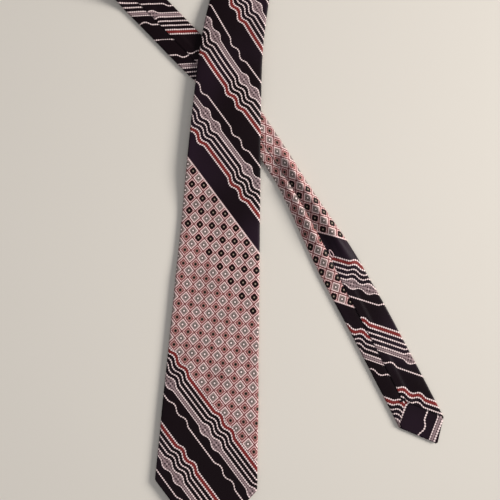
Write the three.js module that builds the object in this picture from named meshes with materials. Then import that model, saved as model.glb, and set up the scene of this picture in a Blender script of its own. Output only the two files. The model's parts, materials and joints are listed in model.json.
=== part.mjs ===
// A four-inch necktie laid out flat: the wide blade face up, the neck band standing in a loop on its
// edge, and the narrow tail coming back face down under the blade.
//
// Every layer of cloth is cut flat as a finely divided box (across, along, through the cloth) and is
// then laid along the tie's centre line. The local directions are u, to the right of the way from the
// blade's point to the tail's point as seen from the face, and v, out of the face.
import * as THREE from "three";

// ---------------------------------------------------------------- driving dimensions (mm, degrees)

// Cloth
const SHELL_CLOTH = 0.5;
const INTERLINING_LOFT = 1.6;
const TIPPING_CLOTH = 0.35;
const LABEL_CLOTH = 0.3;
const THREAD = 0.5;
const LAY_GAP = 0.3; // air between two layers

// Lengths along the centre line
const BLADE_STRAIGHT = 430;
const BLADE_EASE = 130; // bends a little away from the loop, up to the blade seam
const LOOP_RISE = 20;
const LOOP_LENGTH = 320;
const TAIL_RUN_IN = 75;
const TAIL_CROSSING = 120; // the stretch that lies under the blade
const TAIL_EASE = 60;
const TAIL_RUN_OUT = 284.2;
const TAIL_SEAM_BACK = 60; // the tail seam, before the end of the crossing stretch
const TAIL_FLEX_AHEAD = 27; // the line where the tail lifts, past the end of the crossing stretch

// Turns, left positive
const BLADE_HEADING = 86.8; // of the straight stretch, from +X
const BLADE_EASE_TURN = -7.5;
const LOOP_TURN = 235.2;
const LOOP_EASING = 0.1; // share of the loop that its bend takes to start, and to end
const TAIL_CROSSING_TURN = -11;
const TAIL_EASE_TURN = -4;
const TAIL_RUN_OUT_TURN = -2.5;

// The neck band rolls on to its edge, and over
const TWIST_IN = 105;
const TWIST_OUT = 95;

// Widths of the finished tie
const BLADE_WIDTH = 103;
const BLADE_UPPER_WIDTH = 57; // at the blade seam
const NECK_WIDTH = 38;
const TAIL_BUNCHED_WIDTH = 27; // gathered where it passes under the blade's edge
const TAIL_MIDDLE_WIDTH = 42;
const TAIL_WIDTH = 44.5;

// Ends
const BLADE_POINT = 66; // from the point to the corners
const TAIL_POINT = 26.4;
const BLADE_SHIFT = 2; // how far the cloth has crept round the interlining
const TAIL_SHIFT = 4.6;
const END_INSET = 1.5; // tipping, back from the shell's edge
const INTERLINING_INSET = 3;

// Back seam
const SEAM_OFFSET = 0.2; // share of the half width that the folded edge lies off centre
const SEAM_LAP = 6; // how far the under flap reaches below the over flap
const SEAM_STEP = 4; // length over which the over flap climbs on to it

// Tippings
const BLADE_TIPPING_LENGTH = 200;
const TAIL_TIPPING_LENGTH = 92;

// On the back of the blade
const KEEPER_AT = 221;
const KEEPER_BAND = 12;
const KEEPER_SPAN = 60;
const KEEPER_CLOTH = 0.6;
const MAKER_LABEL = { at: 248, length: 26, span: 46 };
const CARE_LABEL = { at: 186, length: 26, span: 17, off: 22 };
const TACK = { length: 1.8, thick: 0.6 };
const BLADE_TACK_ABOVE = 8; // above the top of the opening between the flaps
const TAIL_TACK_ABOVE = 6;
const BACK_FITTINGS = { end: 264, ramp: 27 }; // the blade rides on them from its point to here

// Loose loop of the slip-stitch thread on the tail's back
const SLACK_LOOP = { ahead: 135, length: 8, width: 3 };

// The blade where it rides over the tail
const CROSSING_CLEARANCE = 0.4;
const CROSSING_MARGIN = 3;
const CROSSING_FALL = 60;

// Fineness
const FACE_STEPS = 6;
const FOLD_STEPS = 2;
const PATH_STEP = 1;

// ---------------------------------------------------------------- section through the tie

const foldRadius = INTERLINING_LOFT / 2 + LAY_GAP + SHELL_CLOTH / 2; // middle of the cloth
const faceHeight = foldRadius + SHELL_CLOTH / 2;
const flapDepth = foldRadius + SHELL_CLOTH / 2;
const overFlap = SHELL_CLOTH + LAY_GAP; // how much lower the over flap lies
const backDepth = flapDepth + overFlap;
const tieThickness = faceHeight + backDepth;
const fittingsLift = LAY_GAP + KEEPER_CLOTH;

// ---------------------------------------------------------------- centre line

const stretches = [
  { length: BLADE_STRAIGHT, turn: 0 },
  { length: BLADE_EASE, turn: BLADE_EASE_TURN },
  { length: LOOP_RISE, turn: 0 },
  { length: LOOP_LENGTH, turn: LOOP_TURN, easing: LOOP_EASING },
  { length: TAIL_RUN_IN, turn: 0 },
  { length: TAIL_CROSSING, turn: TAIL_CROSSING_TURN },
  { length: TAIL_EASE, turn: TAIL_EASE_TURN },
  { length: TAIL_RUN_OUT, turn: TAIL_RUN_OUT_TURN },
];

const bladeSeam = BLADE_STRAIGHT + BLADE_EASE;
const loopStart = bladeSeam + LOOP_RISE;
const loopEnd = loopStart + LOOP_LENGTH;
const crossingEnd = loopEnd + TAIL_RUN_IN + TAIL_CROSSING;
const tailSeam = crossingEnd - TAIL_SEAM_BACK;
const tailFlex = crossingEnd + TAIL_FLEX_AHEAD;
const tieLength = crossingEnd + TAIL_EASE + TAIL_RUN_OUT;

// Bend of a stretch at a share t of its length, with an average of 1.
function bendShape(t, easing = 0.5) {
  const edge = Math.min(t, 1 - t) / easing;
  const level = edge < 1 ? 0.5 - 0.5 * Math.cos(Math.PI * edge) : 1;
  return level / (1 - easing);
}

// Plan positions and headings along the tie, one for each PATH_STEP.
function tracePath() {
  const points = [{ x: 0, y: 0, heading: THREE.MathUtils.degToRad(BLADE_HEADING) }];
  for (const { length, turn, easing } of stretches) {
    const steps = Math.round(length / PATH_STEP);
    const step = length / steps;
    for (let i = 0; i < steps; i++) {
      const last = points[points.length - 1];
      const bend = (THREE.MathUtils.degToRad(turn) / steps) * bendShape((i + 0.5) / steps, easing);
      const middle = last.heading + bend / 2;
      points.push({
        x: last.x + step * Math.cos(middle),
        y: last.y + step * Math.sin(middle),
        heading: last.heading + bend,
      });
    }
  }
  return points;
}

const path = tracePath();
const pathStep = tieLength / (path.length - 1);

// Roll of the band about its centre line: 0 face up, 90 on its edge, 180 face down.
function rollAt(s) {
  const into = THREE.MathUtils.smoothstep(s, bladeSeam + 2, bladeSeam + 2 + TWIST_IN);
  const over = THREE.MathUtils.smoothstep(s, loopEnd - TWIST_OUT, loopEnd);
  return (Math.PI / 2) * (into + over);
}

function planAt(s) {
  const at = THREE.MathUtils.clamp(s / pathStep, 0, path.length - 1.000001);
  const i = Math.floor(at);
  const [a, b, t] = [path[i], path[i + 1], at - i];
  const beyond = s - THREE.MathUtils.clamp(s, 0, tieLength);
  const heading = THREE.MathUtils.lerp(a.heading, b.heading, t);
  return {
    x: THREE.MathUtils.lerp(a.x, b.x, t) + beyond * Math.cos(heading),
    y: THREE.MathUtils.lerp(a.y, b.y, t) + beyond * Math.sin(heading),
    heading,
  };
}

// A smooth line through [station, value] pairs, level past both ends.
function through(pairs, s) {
  if (s <= pairs[0][0]) return pairs[0][1];
  if (s >= pairs[pairs.length - 1][0]) return pairs[pairs.length - 1][1];
  const i = pairs.findIndex(([station]) => station > s) - 1;
  const slope = (k) => {
    if (k === 0 || k === pairs.length - 1) return 0;
    const before = (pairs[k][1] - pairs[k - 1][1]) / (pairs[k][0] - pairs[k - 1][0]);
    const after = (pairs[k + 1][1] - pairs[k][1]) / (pairs[k + 1][0] - pairs[k][0]);
    return before * after > 0 ? (2 * before * after) / (before + after) : 0;
  };
  const span = pairs[i + 1][0] - pairs[i][0];
  const t = (s - pairs[i][0]) / span;
  const [t2, t3] = [t * t, t * t * t];
  return (
    (2 * t3 - 3 * t2 + 1) * pairs[i][1] +
    (t3 - 2 * t2 + t) * span * slope(i) +
    (3 * t2 - 2 * t3) * pairs[i + 1][1] +
    (t3 - t2) * span * slope(i + 1)
  );
}

const widths = [
  [bladeSeam, BLADE_UPPER_WIDTH],
  [loopStart + 0.3 * LOOP_LENGTH, NECK_WIDTH],
  [loopEnd + TAIL_RUN_IN, NECK_WIDTH],
  [crossingEnd - 10, TAIL_BUNCHED_WIDTH],
  [crossingEnd + 30, TAIL_BUNCHED_WIDTH],
  [tieLength - 195, TAIL_MIDDLE_WIDTH],
  [tieLength - TAIL_POINT, TAIL_WIDTH],
];

// Half the finished width. The blade tapers straight from its corners to its seam.
function halfWidth(s) {
  if (s >= bladeSeam) return through(widths, s) / 2;
  const t = Math.max(0, (s - BLADE_POINT) / (bladeSeam - BLADE_POINT));
  return THREE.MathUtils.lerp(BLADE_WIDTH, BLADE_UPPER_WIDTH, t) / 2;
}

// ---------------------------------------------------------------- heights

// Stations between which the blade has some of the tail under it.
function findCrossing() {
  const under = [];
  for (let s = 0; s < bladeSeam; s += 4) {
    const blade = planAt(s);
    for (let t = loopEnd; t < tieLength; t += 4) {
      const tail = planAt(t);
      for (const half of [-halfWidth(t), halfWidth(t)]) {
        const x = tail.x + half * Math.sin(tail.heading) - blade.x;
        const y = tail.y - half * Math.cos(tail.heading) - blade.y;
        const ahead = x * Math.cos(blade.heading) + y * Math.sin(blade.heading);
        const aside = Math.abs(x * Math.sin(blade.heading) - y * Math.cos(blade.heading));
        if (Math.abs(ahead) <= 4 && aside <= halfWidth(s)) under.push(s);
      }
    }
  }
  return { from: Math.min(...under) - CROSSING_MARGIN, to: Math.max(...under) + CROSSING_MARGIN };
}
const crossing = findCrossing();

// How much the blade is raised: over the tail, and on the fittings on its back.
function liftAt(s) {
  const { from, to } = crossing;
  const up = THREE.MathUtils.smoothstep(s, from - CROSSING_FALL, from);
  const down = THREE.MathUtils.smoothstep(s, to, to + CROSSING_FALL);
  const onTail = (tieThickness + CROSSING_CLEARANCE) * (up - down);
  const past = Math.max(0, s - BACK_FITTINGS.end) / BACK_FITTINGS.ramp;
  return onTail + fittingsLift * Math.max(0, 1 - past);
}

// The place of the point u across, v out of the face, at s along the tie.
function place(s, u, v) {
  const { x, y, heading } = planAt(s);
  const roll = rollAt(s);
  const [c, d] = [Math.cos(roll), Math.sin(roll)];
  const [rightX, rightY] = [Math.sin(heading), -Math.cos(heading)];
  const sideways = u * c + v * d;
  const point = new THREE.Vector3(
    x + sideways * rightX,
    y + sideways * rightY,
    halfWidth(s) * d + backDepth * Math.max(c, 0) + faceHeight * Math.max(-c, 0) - u * d + v * c,
  );
  point.z += liftAt(s);
  return point;
}

// ---------------------------------------------------------------- laying cloth

// A closed layer of cloth. rows are stations, or functions that give a station for an across index;
// section(s, i, side) gives [u, v] for the inner side (0) or the outer side (1) of the cloth. Cells
// are split along the other diagonal on request, so that layers that face each other match.
function layCloth(rows, acrossSteps, section, otherDiagonal = false) {
  const alongSteps = rows.length - 1;
  const geometry = new THREE.BoxGeometry(acrossSteps, alongSteps, 1, acrossSteps, alongSteps, 1);
  const position = geometry.getAttribute("position");
  for (let k = 0; k < position.count; k++) {
    const i = Math.round(position.getX(k) + acrossSteps / 2);
    const row = rows[Math.round(position.getY(k) + alongSteps / 2)];
    const s = typeof row === "function" ? row(i) : row;
    const [u, v] = section(s, i, position.getZ(k) > 0 ? 1 : 0);
    position.setXYZ(k, ...place(s, u, v).toArray());
  }
  const index = geometry.getIndex();
  for (let k = 0; otherDiagonal && k < index.count; k += 6) {
    const [a, b, d, , c] = index.array.subarray(k, k + 6);
    index.array.set([a, b, c, a, c, d], k);
  }
  return geometry;
}

function stationsBetween(from, to, step) {
  const count = Math.max(1, Math.round((to - from) / step));
  return Array.from({ length: count + 1 }, (_, k) => THREE.MathUtils.lerp(from, to, k / count));
}

// u of the seam's folded edge, which has crept the other way from the face.
function seamEdge(s, shift) {
  return -SEAM_OFFSET * halfWidth(s) - shift / 2;
}

const flatHalf = (s) => halfWidth(s) - SHELL_CLOTH / 2 - foldRadius;

// Places across the face, from edge to edge, with one on the point's own line.
function acrossFace(s, shift) {
  const flat = flatHalf(s);
  const half = FACE_STEPS / 2;
  const at = (k) => (k <= half ? (shift + flat) * (k / half) - flat : shift + (flat - shift) * (k / half - 1));
  return Array.from({ length: FACE_STEPS + 1 }, (_, k) => at(k));
}

// Places across the back: the edges, the slip stitch, and the over flap climbing on the under flap.
function acrossBack(s, shift) {
  const flat = flatHalf(s);
  const edge = seamEdge(s, shift);
  const stitch = edge - LAY_GAP - THREAD / 2;
  const climbed = edge + SEAM_LAP + SEAM_STEP;
  return [-flat, (stitch - flat) / 2, stitch, edge + SEAM_LAP, climbed, (climbed + flat) / 2, flat];
}

// The shell's cloth in section, from the under flap's raw edge round the face to the over flap's fold.
// Each knot gives its middle (u, v), its outward direction and its distance c round from the middle
// of the face.
function shellKnots(s, shift) {
  const flat = flatHalf(s);
  const knots = [];
  const flap = (side, u, drop) =>
    knots.push({
      u,
      v: -foldRadius - drop,
      nu: 0,
      nv: -1,
      c: side * (flat + foldRadius * Math.PI + Math.abs(side * flat - u)),
    });
  const fold = (side, angle) =>
    knots.push({
      u: side * (flat + foldRadius * Math.sin(angle)),
      v: foldRadius * Math.cos(angle),
      nu: side * Math.sin(angle),
      nv: Math.cos(angle),
      c: side * (flat + foldRadius * angle),
    });
  const [, left, stitch, raw, climbed, right] = acrossBack(s, shift);
  for (const u of [raw, stitch, left]) flap(-1, u, 0);
  for (let k = FOLD_STEPS; k >= 0; k--) fold(-1, (Math.PI * k) / FOLD_STEPS);
  for (const u of acrossFace(s, shift).slice(1, -1)) {
    knots.push({ u, v: foldRadius, nu: 0, nv: 1, c: u });
  }
  for (let k = 0; k <= FOLD_STEPS; k++) fold(1, (Math.PI * k) / FOLD_STEPS);
  flap(1, right, 0);
  flap(1, climbed, 0);
  flap(1, raw + LAY_GAP, overFlap);
  flap(1, seamEdge(s, shift), overFlap);
  return knots;
}
const SHELL_STEPS = shellKnots(bladeSeam, 0).length - 1;

// Which way the cloth lies on the tie: the blade's piece has crept one way and the tail's the other.
const shiftAt = (s) => (s < (bladeSeam + loopEnd) / 2 ? BLADE_SHIFT * Math.max(0, 1 - s / bladeSeam) : tailShiftAt(s));
const tailShiftAt = (s) => TAIL_SHIFT * THREE.MathUtils.smoothstep(s, tailFlex, tieLength - TAIL_POINT);

const shellSection = (s, i, side) => {
  const knot = shellKnots(s, shiftAt(s))[i];
  const out = side ? SHELL_CLOTH / 2 : -SHELL_CLOTH / 2;
  return [knot.u + knot.nu * out, knot.v + knot.nv * out];
};

// The cut end of a pointed piece: a straight line on the flat cloth, so that it turns the corner.
const bladeSlope = BLADE_POINT / (BLADE_WIDTH / 2);
const tailSlope = TAIL_POINT / (TAIL_WIDTH / 2);
const bladeEndAt = (c) => bladeSlope * Math.abs(c - BLADE_SHIFT);
const tailEndAt = (c) => tieLength - tailSlope * Math.abs(c - TAIL_SHIFT);
const knotC = (s, shift) => (i) => shellKnots(s, shift)[i].c;
const bladeShellEnd = (i) => bladeEndAt(knotC(BLADE_POINT, BLADE_SHIFT)(i));
const tailShellEnd = (i) => tailEndAt(knotC(tieLength - TAIL_POINT, TAIL_SHIFT)(i));

// Top of the opening between the two flaps.
const bladeOpeningTop = Math.max(...Array.from({ length: SHELL_STEPS + 1 }, (_, i) => bladeShellEnd(i)));
const tailOpeningTop = Math.min(...Array.from({ length: SHELL_STEPS + 1 }, (_, i) => tailShellEnd(i)));

// A flat layer inside the shell, from v = low to v = high.
const innerSection = (low, high) => (s, i, side) => {
  const across = side ? acrossFace(s, shiftAt(s)) : acrossBack(s, shiftAt(s));
  const half = flatHalf(s) - LAY_GAP;
  return [THREE.MathUtils.clamp(across[i], -half, half), side ? high(s) : low(s)];
};

// ---------------------------------------------------------------- stations shared by all layers

const bladeTipTop = bladeOpeningTop + BLADE_TACK_ABOVE + 6;
const tailTipTop = tailOpeningTop - TAIL_TACK_ABOVE - 6;
const bladeStations = [
  bladeTipTop,
  BLADE_TIPPING_LENGTH,
  BLADE_TIPPING_LENGTH + 8,
  BACK_FITTINGS.end,
  BACK_FITTINGS.end + BACK_FITTINGS.ramp,
  ...stationsBetween(crossing.from - CROSSING_FALL, bladeSeam - LAY_GAP / 2, 13),
];
const neckStations = [
  ...stationsBetween(bladeSeam + LAY_GAP / 2, bladeSeam + TWIST_IN, 6.5),
  ...stationsBetween(bladeSeam + TWIST_IN, loopEnd - TWIST_OUT, 10).slice(1, -1),
  ...stationsBetween(loopEnd - TWIST_OUT, loopEnd, 6.5),
  ...stationsBetween(loopEnd, tailSeam - LAY_GAP / 2, 22).slice(1),
];
const upperTailStations = stationsBetween(tailSeam + LAY_GAP / 2, tailFlex - LAY_GAP / 2, 14);
const tailThick = tieLength - TAIL_TIPPING_LENGTH - 8;
const tailStations = [
  ...stationsBetween(tailFlex + LAY_GAP / 2, tailThick, 24),
  tieLength - TAIL_TIPPING_LENGTH,
  tailTipTop,
];

// ---------------------------------------------------------------- the pieces

const shell = (rows) => () => layCloth(rows, SHELL_STEPS, shellSection, true);

// The interlining is thinned where the tipping lies on it.
const loftTop = INTERLINING_LOFT / 2;
const tippedLow = -loftTop + TIPPING_CLOTH + LAY_GAP;
const interliningLow = (s) => {
  const onBlade = s < BLADE_TIPPING_LENGTH + 1;
  const onTail = s > tieLength - TAIL_TIPPING_LENGTH - 1;
  return onBlade || onTail ? tippedLow : -loftTop;
};
const interliningSection = innerSection(interliningLow, () => loftTop);
const interlining = (rows) => () => layCloth(rows, FACE_STEPS, interliningSection);

const tippingSection = innerSection(() => -loftTop, () => -loftTop + TIPPING_CLOTH);
const tipping = (rows) => () => layCloth(rows, FACE_STEPS, tippingSection);

const bladeInnerEnd = (inset) => (i) => bladeEndAt(acrossFace(BLADE_POINT, BLADE_SHIFT)[i]) + inset;
const tailInnerEnd = (inset) => (i) => tailEndAt(acrossFace(tieLength - TAIL_POINT, TAIL_SHIFT)[i]) - inset;

// The slip stitch lies in the corner between the under flap and the over flap's folded edge.
const stitchSection = (s, i, side) => {
  const edge = seamEdge(s, shiftAt(s)) - LAY_GAP - THREAD;
  const top = -flapDepth - LAY_GAP;
  return [edge + i * THREAD, side ? top : top - THREAD];
};
const slipStitch = (rows) => () => layCloth(rows, 1, stitchSection);

// A flat piece on the back, outside the shell, gap below the back's lowest layer.
function onBack(s, length, u, span, depth, thick) {
  const section = (_, i, side) => [u + (i - 0.5) * span, side ? -depth : -depth - thick];
  return layCloth([s - length / 2, s + length / 2], 1, section);
}

const overBack = backDepth + LAY_GAP;
const overFlapOnly = flapDepth + LAY_GAP;
const keeperLoop = () => onBack(KEEPER_AT, KEEPER_BAND, 0, KEEPER_SPAN, overBack, KEEPER_CLOTH);
const keeperTack = (side) => () =>
  onBack(
    KEEPER_AT,
    KEEPER_BAND - 2,
    side * (KEEPER_SPAN / 2 + LAY_GAP + TACK.length / 2),
    TACK.length,
    overFlapOnly,
    overBack + KEEPER_CLOTH - overFlapOnly,
  );
const makerLabel = () =>
  onBack(MAKER_LABEL.at, MAKER_LABEL.length, 0, MAKER_LABEL.span, overBack, LABEL_CLOTH);
const careLabel = () =>
  onBack(CARE_LABEL.at, CARE_LABEL.length, CARE_LABEL.off, CARE_LABEL.span, overFlapOnly, LABEL_CLOTH);
const barTack = (s, shift) => () =>
  onBack(s, TACK.length, seamEdge(s, shift), 9, overBack, TACK.thick);

// A loose loop of thread lying on the tail's back, over the seam.
function slackLoop() {
  const s = tailFlex + LAY_GAP / 2 + SLACK_LOOP.ahead - TAIL_FLEX_AHEAD;
  const edge = seamEdge(s, shiftAt(s));
  const ring = new THREE.TorusGeometry(1, THREAD / SLACK_LOOP.width, 6, 16);
  ring.scale(SLACK_LOOP.width / 2, SLACK_LOOP.length / 2, SLACK_LOOP.width / 2);
  const position = ring.getAttribute("position");
  for (let k = 0; k < position.count; k++) {
    const [x, y, z] = [position.getX(k), position.getY(k), position.getZ(k)];
    const laid = place(s + y, edge + x, -backDepth - LAY_GAP - THREAD / 2 + z);
    position.setXYZ(k, ...laid.toArray());
  }
  return ring;
}

// ---------------------------------------------------------------- materials and assembly

const cloth = (colour, roughness) => new THREE.MeshStandardMaterial({ color: colour, roughness, metalness: 0 });
const SHELL = cloth(0x1a1118, 0.55);
const TIPPING = cloth(0x1c161d, 0.5);
const INTERLINING = cloth(0xd9d0bd, 0.95);
const LABEL = cloth(0xb9b2a6, 0.7);
const STITCH = cloth(0x2a1c22, 0.6);
const PALE_STITCH = cloth(0xc9a9ac, 0.6);

const pieces = [
  ["blade_shell", shell([bladeShellEnd, ...bladeStations]), SHELL],
  ["blade_interlining", interlining([bladeInnerEnd(INTERLINING_INSET), ...bladeStations]), INTERLINING],
  ["blade_tipping", tipping([bladeInnerEnd(END_INSET), ...bladeStations.slice(0, 2)]), TIPPING],
  ["blade_slip_stitch", slipStitch(bladeStations), STITCH],
  ["blade_bar_tack", barTack(bladeOpeningTop + BLADE_TACK_ABOVE, BLADE_SHIFT), STITCH],
  ["keeper_loop", keeperLoop, SHELL],
  ["keeper_tack_left", keeperTack(-1), STITCH],
  ["keeper_tack_right", keeperTack(1), STITCH],
  ["maker_label", makerLabel, LABEL],
  ["care_label", careLabel, LABEL],
  ["neck_shell", shell(neckStations), SHELL],
  ["neck_interlining", interlining([...neckStations, ...upperTailStations]), INTERLINING],
  ["neck_slip_stitch", slipStitch(neckStations), STITCH],
  ["tail_shell_upper", shell(upperTailStations), SHELL],
  ["tail_slip_stitch_upper", slipStitch(upperTailStations), STITCH],
  ["tail_shell", shell([...tailStations, tailShellEnd]), SHELL],
  ["tail_interlining", interlining([...tailStations, tailInnerEnd(INTERLINING_INSET)]), INTERLINING],
  ["tail_tipping", tipping([...tailStations.slice(-2), tailInnerEnd(END_INSET)]), TIPPING],
  ["tail_slip_stitch", slipStitch(tailStations), STITCH],
  ["tail_bar_tack", barTack(tailOpeningTop - TAIL_TACK_ABOVE, TAIL_SHIFT), STITCH],
  ["slack_thread_loop", slackLoop, PALE_STITCH],
];

const laid = new THREE.Group();
for (const [name, make, material] of pieces) {
  const mesh = new THREE.Mesh(make(), material);
  mesh.name = name;
  laid.add(mesh);
}

// The part's origin is the middle of its underside.
const box = new THREE.Box3().setFromObject(laid);
const middle = box.getCenter(new THREE.Vector3());
laid.position.set(-middle.x, -middle.y, -box.min.z);

const necktie = new THREE.Group();
necktie.add(laid);
export default necktie;
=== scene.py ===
"""A four-inch woven necktie laid flat: blade face up, neck band standing in a loop, tail face down."""

import json
import math

import bmesh
import bpy
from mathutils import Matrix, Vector, noise


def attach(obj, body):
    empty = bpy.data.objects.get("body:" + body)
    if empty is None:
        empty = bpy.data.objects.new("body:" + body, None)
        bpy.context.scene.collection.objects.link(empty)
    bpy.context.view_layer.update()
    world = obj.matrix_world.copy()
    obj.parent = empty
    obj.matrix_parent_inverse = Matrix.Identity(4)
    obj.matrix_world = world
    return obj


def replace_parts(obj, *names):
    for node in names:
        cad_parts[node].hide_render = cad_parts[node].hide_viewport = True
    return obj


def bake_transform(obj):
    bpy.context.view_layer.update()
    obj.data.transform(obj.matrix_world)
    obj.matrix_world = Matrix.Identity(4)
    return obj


bl_info = {
    "name": "Necktie",
    "version": (1, 0, 0),
    "blender": (4, 5, 0),
    "location": "3D View > Sidebar > Necktie",
    "description": "Builds a laid-out woven necktie, its linings, stitching and labels, and a plain stage",
    "category": "Object",
}

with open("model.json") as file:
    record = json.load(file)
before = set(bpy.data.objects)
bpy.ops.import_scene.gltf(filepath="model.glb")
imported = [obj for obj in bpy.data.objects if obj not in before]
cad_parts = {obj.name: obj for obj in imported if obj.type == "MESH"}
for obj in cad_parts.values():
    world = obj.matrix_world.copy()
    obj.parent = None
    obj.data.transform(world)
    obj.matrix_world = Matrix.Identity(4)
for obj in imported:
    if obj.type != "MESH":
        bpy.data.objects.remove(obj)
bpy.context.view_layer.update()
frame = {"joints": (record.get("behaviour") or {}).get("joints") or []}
JOINTS = {joint["name"]: joint for joint in frame["joints"]}
MM = 0.001


# ---------------------------------------------------------------- sizes and colours


def measure(name, description, default):
    """A length property, in metres."""
    return bpy.props.FloatProperty(
        name=name, description=description, default=default, min=0, unit="LENGTH", precision=5
    )


def linear(level):
    """A colour channel's linear value, from its 8-bit display value."""
    share = level / 255
    return share / 12.92 if level <= 10 else ((share + 0.055) / 1.055) ** 2.4


def colour(name, description, *levels):
    """A colour property, from red, green and blue as 8-bit display values."""
    default = (*map(linear, levels), 1)
    return bpy.props.FloatVectorProperty(
        name=name, description=description, default=default, size=4, min=0, max=1, subtype="COLOR"
    )


class TieSizes(bpy.types.PropertyGroup):
    """Sizes of the tie along its centre line and across"""

    blade_straight: measure("Blade straight", "Straight stretch from the blade's point", 0.430)
    blade_ease: measure("Blade ease", "Stretch that bends a little, up to the blade seam", 0.130)
    loop_rise: measure("Loop rise", "Straight stretch past the blade seam", 0.020)
    loop_length: measure("Loop length", "Length of the loop round the neck", 0.320)
    tail_run_in: measure("Tail run-in", "Straight stretch after the loop", 0.075)
    tail_crossing: measure("Tail crossing", "Stretch under the blade", 0.120)
    tail_ease: measure("Tail ease", "Stretch beyond the blade", 0.060)
    tail_run_out: measure("Tail run-out", "Stretch down to the tail's point", 0.2842)
    tail_seam_back: measure("Tail seam", "Tail seam, before the end of the crossing", 0.060)
    tail_flex_ahead: measure("Tail flex", "Line where the tail lifts, past the crossing", 0.027)
    twist_in: measure("Twist in", "Length over which the band rolls on to its edge", 0.105)
    twist_out: measure("Twist out", "Length over which the band rolls face down", 0.095)
    blade_width: measure("Blade width", "Width at the blade's corners", 0.103)
    blade_upper_width: measure("Upper width", "Width at the blade seam", 0.057)
    neck_width: measure("Neck width", "Width of the neck band", 0.038)
    tail_bunched_width: measure("Bunched width", "Width where the tail is gathered", 0.027)
    tail_middle_width: measure("Tail middle", "Width half way down the tail", 0.042)
    tail_width: measure("Tail width", "Width at the tail's corners", 0.0445)
    blade_point: measure("Blade point", "From the blade's point to its corners", 0.066)
    tail_point: measure("Tail point", "From the tail's point to its corners", 0.0264)
    blade_shift: measure("Blade creep", "How far the cloth has crept round the blade", 0.002)
    tail_shift: measure("Tail creep", "How far the cloth has crept round the tail", 0.0046)
    seam_lap: measure("Seam lap", "How far the under flap reaches below the over flap", 0.006)
    seam_step: measure("Seam step", "Length over which the over flap climbs", 0.004)
    loft: measure("Interlining loft", "Thickness of the interlining", 0.0016)
    cloth: measure("Cloth", "Thickness of the shell cloth", 0.00034)
    lining_cloth: measure("Tipping cloth", "Thickness of the tipping", 0.0003)
    air: measure("Lay gap", "Air between two layers", 0.0003)
    blade_tipping: measure("Blade tipping", "Length of the blade's tipping", 0.200)
    tail_tipping: measure("Tail tipping", "Length of the tail's tipping", 0.092)
    keeper_at: measure("Keeper at", "Keeper loop, from the blade's point", 0.221)
    keeper_band: measure("Keeper band", "Width of the keeper loop's band", 0.012)
    keeper_span: measure("Keeper span", "Length of the keeper loop", 0.060)
    row_step: measure("Row step", "Distance between two rows of the cloth's mesh", 0.0026)


class TieColours(bpy.types.PropertyGroup):
    """Yarn colours, and the plum tint of a painted sheen"""

    ground: colour("Ground", "Dark aubergine ground", 15, 3, 7)
    # Painted sheen: a plum tint mixed into the dark ground in patches, in place of the silk's own sheen.
    painted_sheen_tint: colour("Bloom", "Plum cast that the ground takes in places", 36, 21, 34)
    red: colour("Maroon", "Maroon band", 122, 40, 38)
    white: colour("White", "White figure yarn", 250, 226, 222)
    lace: colour("Lace", "Grey yarn between the rows of the lacy band", 150, 126, 128)
    pink: colour("Pink", "Pink figure yarn", 204, 142, 138)
    brick: colour("Brick", "Brick-red figure yarn", 82, 22, 25)
    silver: colour("Silver", "Inside of the pale squares", 150, 136, 130)
    beige: colour("Beige", "Hearts of the dark squares", 150, 134, 116)
    black: colour("Black", "Dark squares", 14, 2, 3)
    felt: colour("Felt", "Interlining", 214, 205, 186)
    label: colour("Label", "Blank woven labels", 176, 166, 150)
    thread: colour("Thread", "Sewing thread", 34, 17, 24)
    pale_thread: colour("Pale thread", "Loose slip-stitch thread", 214, 168, 170)
    floor: colour("Floor", "Plain pale floor", 214, 207, 197)


# ---------------------------------------------------------------- the tie's centre line and section

# Lengths are in metres.
BLADE_HEADING = 86.8  # degrees, the strip's way at the blade's point
HALF_WALL = 0.00025  # half of the wall that a shell's cloth takes up
TAIL_MIDDLE = 0.195  # from the tail's point to its middle width
TWIST_WAIT = 0.002  # from the blade seam to where the band starts to roll
GATHER_IN = (1.12, 1.17)  # stations between which the seam moves aside in the gathers
GATHER_OUT = (1.22, 1.27)
SEAM_ASIDE = 0.0018
SEAM_SHARE = 0.2  # how far left of the middle the seam lies, of the half width
CROSSING_SLOPE = 0.060  # length over which the blade climbs on to the tail
CROSSING_GAP = 0.0004  # between the tail and the blade over it
FITTINGS_END = 0.264  # station up to which what is sewn on its back holds the blade up
FITTINGS_FALL = 0.027
FITTINGS_LIFT = 0.0009
HEM_TURN = 0.00019  # radius of the over flap's turned edge
HEM_DEPTH = 0.005
# How a back flap bunches up in the gathers: (skew of its crest, start past the crossing, rise)
UNDER_BUNCH = (0.6, 0.020, 0.0048)
OVER_BUNCH = (1.7, 0.003, 0.0076)
BUNCH_GROWTH = 0.028  # length over which the bunch grows
BUNCH_OUT = (0.095, 0.165)  # past the crossing, where it dies away


def smoothstep(x, low, high):
    t = min(max((x - low) / (high - low), 0.0), 1.0)
    return t * t * (3 - 2 * t)


def lerp(a, b, t):
    return a + (b - a) * t


def through(pairs, s):
    """A smooth line through (station, value) pairs, level past both ends."""
    if s <= pairs[0][0]:
        return pairs[0][1]
    if s >= pairs[-1][0]:
        return pairs[-1][1]
    i = max(k for k, pair in enumerate(pairs) if pair[0] <= s)

    def slope(k):
        if k in (0, len(pairs) - 1):
            return 0.0
        before = (pairs[k][1] - pairs[k - 1][1]) / (pairs[k][0] - pairs[k - 1][0])
        after = (pairs[k + 1][1] - pairs[k][1]) / (pairs[k + 1][0] - pairs[k][0])
        return 2 * before * after / (before + after) if before * after > 0 else 0.0

    span = pairs[i + 1][0] - pairs[i][0]
    t = (s - pairs[i][0]) / span
    return (
        (2 * t**3 - 3 * t**2 + 1) * pairs[i][1]
        + (t**3 - 2 * t**2 + t) * span * slope(i)
        + (3 * t**2 - 2 * t**3) * pairs[i + 1][1]
        + (t**3 - t**2) * span * slope(i + 1)
    )


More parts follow.
